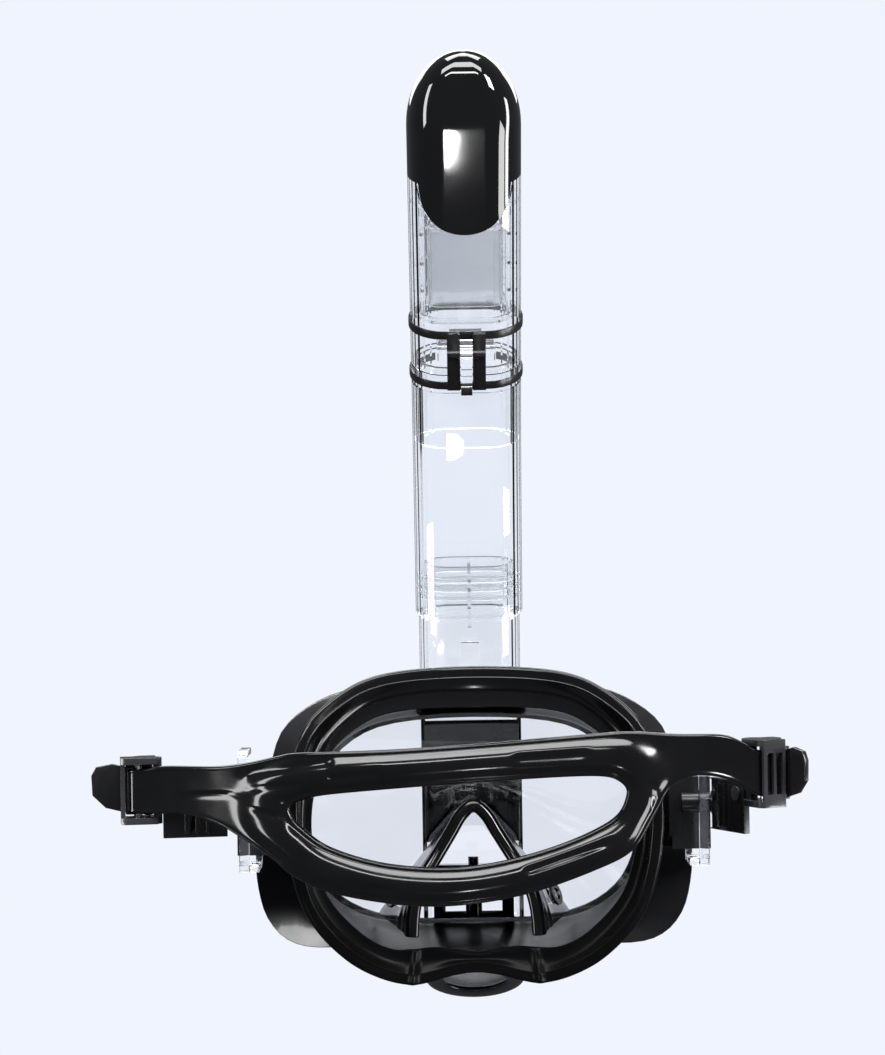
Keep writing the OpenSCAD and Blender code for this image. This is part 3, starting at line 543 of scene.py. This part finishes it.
# ---------------------------------------------------------------- purge housing
def build_purge():
    """Purge housing: a neck that turns from the duct's rectangle to a round, rolled mouth."""
    count = 96
    here = purge_matrix()
    neck_y = (NECK_FRONT_Y + NECK_BACK_Y) / 2
    neck = rounded_section(NECK_W, NECK_BACK_Y - NECK_FRONT_Y, 5, count)
    top = np.stack([-neck[:, 0], neck[:, 1] + neck_y, np.full(count, NECK_Z)], axis=1)
    angle = np.unwrap(np.arctan2(neck[:, 1], neck[:, 0]))
    disc = np.stack([-np.cos(angle), np.sin(angle)], axis=1)

    def circle(r, z):
        local = [(-p[0] * r, -p[1] * r, z) for p in disc]
        return np.array(placed(local, here))

    rim = circle(PURGE_R, -4.0)
    rings = [top]
    for t in np.linspace(0.15, 0.85, 6):
        s = smooth_step(t)
        rings.append(top * (1 - s) + rim * s)
    rolled_rim = [(24.3, -5.2), (PURGE_R, -3.6), (PURGE_R, -1.6), (24.1, -0.6), (23.2, -0.1), (21.8, 0.05)]
    mouth = [(19.4, -0.1), (17.6, -0.25), (16.6, -0.5), (16.05, -0.9), (16.0, -1.3)]
    ledge = [(17.2, -1.45), (20.2, -1.45), (20.9, -1.9), (21.0, -5.6)]
    rings += [circle(r, z) for r, z in rolled_rim + mouth + ledge]
    inner = top.copy()
    inner[:, 0] *= 0.92
    inner[:, 1] = (inner[:, 1] - neck_y) * 0.85 + neck_y
    for t in np.linspace(0.8, 0.2, 5):
        s = smooth_step(t)
        rings.append(inner * (1 - s) + circle(20.9, -5.6) * s)
    rings.append(inner)
    verts = np.concatenate(rings)
    obj = make_mesh("purge_housing", verts, ring_faces(len(rings), count, True), GLOSS)
    return stands_for(obj, "purge_body")


# ---------------------------------------------------------------- strap
STRAP_TOP = [
    (165, 33), (153, 33), (145, 34.6), (119, 35), (104, 37), (89, 40.5), (79, 42), (37, 43.5), (-5, 46),
    (-56, 49.5), (-73, 50), (-92, 48.5), (-112, 47.8), (-120, 45.2), (-127, 41), (-132, 39.5), (-146, 39.5),
]
STRAP_BOTTOM = [
    (-146, 18.5), (-131, 18.5), (-125, 21.2), (-115, 27), (-103, 29.5), (-93, 27), (-87, 22),
    (-80, 9.5), (-71, -4), (-54, -12.5), (-26, -22), (2, -27), (30, -27.5), (65, -22), (83, -14.5),
    (93, -6.5), (107, 2), (119, 8.5), (134, 12), (151, 12), (165, 12),
]
STRAP_SLOT = [
    (84, 17), (79, 20), (65, 23), (23, 26.5), (-19, 29), (-55, 30), (-66, 27), (-68.5, 21), (-61, 10),
    (-33, -2), (2, -9.5), (37, -8.5), (65, -1), (79, 8.5), (83, 13),
]
STRAP_SPAN = [
    (150, 2.2), (138, 6.4), (124, 12.5), (110, 19.5), (96, 26), (78, 33), (55, 38.5), (30, 41.5),
    (0, 43), (-30, 43.5), (-60, 43), (-85, 41), (-105, 38.6), (-118, 35.6), (-127, 32.2),
]

PIVOT_X, PIVOT_Y = 116.5, -12.0
ARM_YAW = {1: 8.0, -1: 64.0}
ROLLER_X, ROLLER_Y, ROLLER_R = 41.5, 2.0, 2.0
WRAP_FROM = {1: 63.0, -1: 6.0}
WRAP_TAIL = 8.0
END_Z = {1: (12.0, 33.0), -1: (18.5, 39.5)}
RIM_W, RIM_RISE, CROWN_RISE = 2.1, 0.45, 3.0  # the raised rim along each edge, and the bands' crown
# Long shallow dimples where the bands meet: from (x, z), to (x, z), radius, depth
DIMPLES = [
    ((104, 32), (66, 37.5), 1.7, 1.5), ((101, 25), (80, 27.5), 1.5, 1.3), ((64, 30), (44, 33), 1.7, 1.3),
    ((-20, 38.5), (-50, 40), 1.9, 1.4), ((57, -18), (38, -20), 1.6, 1.4), ((-24, -12), (-60, 0), 1.7, 1.4),
    ((-80, 26), (-84, 12), 1.6, 1.1), ((98, 15.5), (90, 13), 1.5, 1.1), ((112, 22), (132, 21), 1.6, 0.9),
]


def arm_point(side, x, y):
    """A point of an arm's own frame, seen from above."""
    a = math.radians(ARM_YAW[side])
    return (side * (PIVOT_X + x * math.cos(a) - y * math.sin(a)), PIVOT_Y + x * math.sin(a) + y * math.cos(a))


def strap_line():
    """Middle line of the strap from its left tail to its right tail, and where it leaves each roller."""
    r = ROLLER_R + 0.15 + STRAP_T / 2

    def wrap(side):
        turn = np.radians(np.linspace(-90, WRAP_FROM[side], 14))
        return [arm_point(side, ROLLER_X - WRAP_TAIL, ROLLER_Y - r)] + \
            [arm_point(side, ROLLER_X + r * math.cos(a), ROLLER_Y + r * math.sin(a)) for a in turn]

    left, right = wrap(1), wrap(-1)[::-1]
    middle = catmull([left[-1]] + STRAP_SPAN + [right[0]], 8)
    line = np.concatenate([left[:-1], middle, right[1:]])
    return line, len(left) - 1, len(left) + len(middle) - 2


def resampled(curve, count):
    run = np.concatenate([[0], np.cumsum(np.linalg.norm(np.diff(curve, axis=0), axis=1))])
    at = np.linspace(0, run[-1], count)
    return np.stack([np.interp(at, run, curve[:, k]) for k in range(curve.shape[1])], axis=1)


def clipped(curve, x0, x1, count):
    """The stretch of a curve, whose x falls, from x0 to x1, in evenly spaced points."""
    fine = resampled(curve, 2000)
    keep = fine[(fine[:, 0] <= x0) & (fine[:, 0] >= x1)]
    return resampled(keep, count)


def gap_to(points, curve):
    """Distance from each point to a polyline."""
    a, b = curve[:-1], curve[1:]
    ab = b - a
    ap = points[:, None, :] - a[None]
    t = np.clip((ap * ab).sum(-1) / np.maximum((ab * ab).sum(-1), 1e-12), 0, 1)
    return np.linalg.norm(ap - t[..., None] * ab, axis=-1).min(1)


def build_strap():
    """Split strap: two convex bands with rolled edges that join into a flat tongue at each buckle."""
    line, i0, i1 = strap_line()
    run = np.concatenate([[0], np.cumsum(np.linalg.norm(np.diff(line, axis=0), axis=1))])
    tangent = unit(np.gradient(line, run, axis=0))
    normal = np.stack([tangent[:, 1], -tangent[:, 0]], axis=1)
    if normal[(i0 + i1) // 2, 1] < 0:
        normal = -normal
    x_left, x_right = line[i0, 0], line[i1, 0]

    def run_of(x):
        return np.interp(-x, -line[i0:i1 + 1, 0], run[i0:i1 + 1])

    top = catmull(STRAP_TOP, 8)
    bottom = catmull(STRAP_BOTTOM, 8)[::-1]
    slot = catmull(STRAP_SLOT, 8, closed=True)
    left_end, right_end = int(slot[:, 0].argmax()), int(slot[:, 0].argmin())
    slot = np.roll(slot, -left_end, axis=0)
    far = (right_end - left_end) % len(slot)
    upper_slot = slot[:far + 1]
    lower_slot = np.concatenate([slot[far:], slot[:1]])[::-1]
    bands, tongue, wrap_cols, rows = 96, 22, 16, 22
    across_row = 0.5 * (1 - np.cos(np.pi * np.arange(rows + 1) / rows))
    columns = {"upper": [], "lower": []}
    flat_z = {"upper": 1, "lower": 0}
    limits = {"upper": (92.0, -79.0), "lower": (97.0, -84.0)}
    edges = {"upper": top, "lower": bottom}
    inner = {"upper": resampled(upper_slot, bands), "lower": resampled(lower_slot, bands)}
    ends = {1: slot[0], -1: slot[far]}
    for half in columns:
        cols, edge = columns[half], edges[half]
        for s in np.linspace(0, run[i0], wrap_cols)[:-1]:
            lo, hi = END_Z[1]
            mid, end = (lo + hi) / 2, END_Z[1][flat_z[half]]
            cols.append([(s, mid + (end - mid) * q, None) for q in across_row])
        for side in (1, -1):
            span = (x_left, limits[half][0]) if side > 0 else (limits[half][1], x_right)
            outer = clipped(edge, *span, tongue)
            other = "lower" if half == "upper" else "upper"
            other_span = (x_left, limits[other][0]) if side > 0 else (limits[other][1], x_right)
            opposite = clipped(edges[other], *other_span, tongue)
            w = smooth_step(np.linspace(0, 1, tongue) if side > 0 else np.linspace(1, 0, tongue))[:, None]
            middle = (outer + opposite) / 2 * (1 - w) + ends[side] * w
            made = [[(run_of(p[0]), p[1], p) for p in (m + (o - m) * q for q in across_row)]
                    for m, o in zip(middle, outer)]
            if side > 0:
                cols += made[:-1]
                for p, o in zip(inner[half], clipped(edge, *limits[half], bands)):
                    cols.append([(run_of(v[0]), v[1], v) for v in (p + (o - p) * q for q in across_row)])
            else:
                cols += made[1:]
        for s in np.linspace(run[i1], run[-1], wrap_cols)[1:]:
            lo, hi = END_Z[-1]
            mid, end = (lo + hi) / 2, END_Z[-1][flat_z[half]]
            cols.append([(s, mid + (end - mid) * q, None) for q in across_row])

    verts, faces = [], []
    for half, cols in columns.items():
        s = np.array([[c[0] for c in col] for col in cols])
        z = np.array([[c[1] for c in col] for col in cols])
        on_line = np.array([[c[2] is None for c in col] for col in cols])
        x = np.interp(s, run, line[:, 0])
        y = np.interp(s, run, line[:, 1])
        nx, ny = np.interp(s, run, normal[:, 0]), np.interp(s, run, normal[:, 1])
        xz = np.stack([x.ravel(), z.ravel()], axis=1)
        to_slot = gap_to(xz, np.concatenate([slot, slot[:1]])).reshape(s.shape)
        to_edge = np.minimum(gap_to(xz, top), gap_to(xz, bottom)).reshape(s.shape)
        side = np.where(s < run[i0], 1, -1)
        z_lo = np.where(side > 0, END_Z[1][0], END_Z[-1][0])
        z_hi = np.where(side > 0, END_Z[1][1], END_Z[-1][1])
        to_flat = np.minimum(np.minimum(z - z_lo, z_hi - z), np.minimum(s, run[-1] - s))
        gap = np.where(on_line, np.maximum(to_flat, 0), np.minimum(to_slot, to_edge))
        e = STRAP_T / 2
        half_t = e * np.sqrt(np.maximum(1 - np.square(1 - np.minimum(gap / e, 1)), 0))
        rolled = RIM_RISE * np.exp(-np.square((gap - 1.0) / 0.6)) * (gap > 0.02)
        in_band = smooth_step((26 - to_slot) / 14) * (~on_line)
        crown = CROWN_RISE * (1 - np.square(1 - np.clip((gap - RIM_W) / 7.0, 0, 1))) * in_band
        relief = np.zeros_like(s)
        for start, stop, radius, depth in DIMPLES:
            d = gap_to(xz, resampled(np.array([start, stop], float), 12)).reshape(s.shape)
            relief -= depth * np.exp(-np.square(d / radius)) * (~on_line) * smooth_step(gap / 2)
        base = len(verts)
        outside = half_t + rolled + crown + relief
        inside = -(half_t + rolled * 0.6 + crown * 0.12)
        for off in (outside, inside):
            verts += [tuple(v) for v in np.stack([x + nx * off, y + ny * off, z], axis=-1).reshape(-1, 3)]
        count = len(cols)
        for layer in range(2):
            start = base + layer * s.size
            for i in range(count - 1):
                for j in range(rows):
                    a = start + i * (rows + 1) + j
                    faces.append((a, a + 1, a + rows + 2, a + rows + 1))
    obj = make_mesh("head_strap", verts, faces, SILICONE)
    return stands_for(subdivided(obj), "strap")


# ---------------------------------------------------------------- studio
PALE = (0.871, 0.905, 0.991)
CAMERA_AT = (0.0126, 1.3, 0.1435)
FOCAL = 94.93
ROLL = math.radians(-0.9)


def build_world():
    """Pale backdrop to the eye and past clear plastic; dim surroundings for other reflections and light."""
    world = bpy.data.worlds.new("studio")
    bpy.context.scene.world = world
    world.use_nodes = True
    tree = world.node_tree
    tree.nodes.clear()
    out = tree.nodes.new("ShaderNodeOutputWorld")
    seen, around = tree.nodes.new("ShaderNodeBackground"), tree.nodes.new("ShaderNodeBackground")
    seen.inputs["Color"].default_value = (*PALE, 1)
    around.inputs["Color"].default_value = (0.9, 0.94, 1.0, 1)
    around.inputs["Strength"].default_value = 0.13
    path = tree.nodes.new("ShaderNodeLightPath")
    either = tree.nodes.new("ShaderNodeMath")
    either.operation = "MAXIMUM"
    mix = tree.nodes.new("ShaderNodeMixShader")
    tree.links.new(path.outputs["Is Camera Ray"], either.inputs[0])
    tree.links.new(path.outputs["Transmission Depth"], either.inputs[1])
    either.use_clamp = True
    tree.links.new(either.outputs[0], mix.inputs["Fac"])
    tree.links.new(around.outputs[0], mix.inputs[1])
    tree.links.new(seen.outputs[0], mix.inputs[2])
    tree.links.new(mix.outputs[0], out.inputs["Surface"])


def build_floor():
    mesh = bpy.data.meshes.new("floor")
    half, low = 30.0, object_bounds()[0][2] - 0.004
    corners = [(x * half, y * half, low) for x, y in ((-1, -1), (1, -1), (1, 1), (-1, 1))]
    mesh.from_pydata(corners, [], [(0, 1, 2, 3)])
    floor = bpy.data.objects.new("floor", mesh)
    bpy.context.scene.collection.objects.link(floor)
    mat = bpy.data.materials.new("pale_floor")
    mat.use_nodes = True
    tree = mat.node_tree
    tree.nodes.clear()
    out, glow = tree.nodes.new("ShaderNodeOutputMaterial"), tree.nodes.new("ShaderNodeEmission")
    glow.inputs["Color"].default_value = (*PALE, 1)
    tree.links.new(glow.outputs[0], out.inputs["Surface"])
    mesh.materials.append(mat)
    floor.visible_glossy = False
    floor.visible_diffuse = False
    floor.visible_shadow = False


def softbox(name, at, towards, size, power, shape="RECTANGLE"):
    light = bpy.data.lights.new(name, "AREA")
    light.shape = shape
    light.size, light.size_y = size
    light.energy = power
    obj = bpy.data.objects.new(name, light)
    obj.location = at
    obj.rotation_mode = "QUATERNION"
    obj.rotation_quaternion = (Vector(towards) - Vector(at)).to_track_quat("-Z", "Y")
    bpy.context.scene.collection.objects.link(obj)


def build_lights():
    middle, cap = (0, 0, 0.12), (0, 0.05, 0.32)
    softbox("top_box", (0.1, 0.85, 1.3), middle, (1.6, 0.4), 22)
    softbox("sky_box", (0.0, -0.25, 1.7), (0, 0, 0.05), (1.2, 0.6), 20)
    for k, x in enumerate((-0.8, -1.02)):
        softbox(f"window_{k}", (x, 0.9, 0.7), middle, (0.17, 0.55), 9)
    softbox("left_strip", (1.2, 0.5, 0.2), middle, (0.22, 1.2), 9)
    softbox("right_strip", (-1.2, 0.1, 0.0), middle, (0.2, 0.9), 8)
    softbox("rear_box", (0.0, -1.0, 0.85), middle, (1.9, 0.5), 12)
    softbox("low_window", (0.004, 0.842, -0.686), cap, (0.024, 0.09), 0.3, "ELLIPSE")
    softbox("right_window", (-0.82, 0.35, -0.35), cap, (0.3, 0.32), 3.0)
    softbox("front_strip", (0.15, 1.5, 1.0), (0, 0, 0), (0.9, 0.12), 6)


def build_camera():
    data = bpy.data.cameras.new("camera")
    data.lens = FOCAL
    data.sensor_width = 36
    data.clip_start, data.clip_end = 0.05, 100
    camera = bpy.data.objects.new("camera", data)
    bpy.context.scene.collection.objects.link(camera)
    right, up, back = Vector((-1, 0, 0)), Vector((0, 0, 1)), Vector((0, 1, 0))
    rolled_right = right * math.cos(ROLL) + up * math.sin(ROLL)
    rolled_up = up * math.cos(ROLL) - right * math.sin(ROLL)
    turn = Matrix((rolled_right, rolled_up, back)).transposed().to_4x4()
    camera.matrix_world = Matrix.Translation(CAMERA_AT) @ turn
    bpy.context.scene.camera = camera


# ---------------------------------------------------------------- assembly
# Width of the rounding on each moulded part's edges, in millimetres
SOFT_EDGES = {
    "frame": 0.8,
    "side_block_left": 0.6, "side_block_right": 0.6,
    "side_clip_left": 0.5, "side_clip_right": 0.5,
    "arm_left": 0.5, "arm_right": 0.5,
    "buckle_frame_left": 0.5, "buckle_frame_right": 0.5,
    "lever_left": 0.4, "lever_right": 0.4,
    "latch": 0.3, "latch_tip": 0.3,
    "ring_upper": 0.25, "ring_lower": 0.2,
    "exhale_channel": 0.4, "duct_back": 0.4, "port_catch": 0.3,
}

finish_cad()
build_skirt()
build_nose_arch()
build_cap()
build_purge()
build_strap()
for part, width in SOFT_EDGES.items():
    softened(part, width, part + "_moulding")
build_world()
build_floor()
build_lights()
build_camera()
bpy.context.scene.view_settings.view_transform = "Standard"
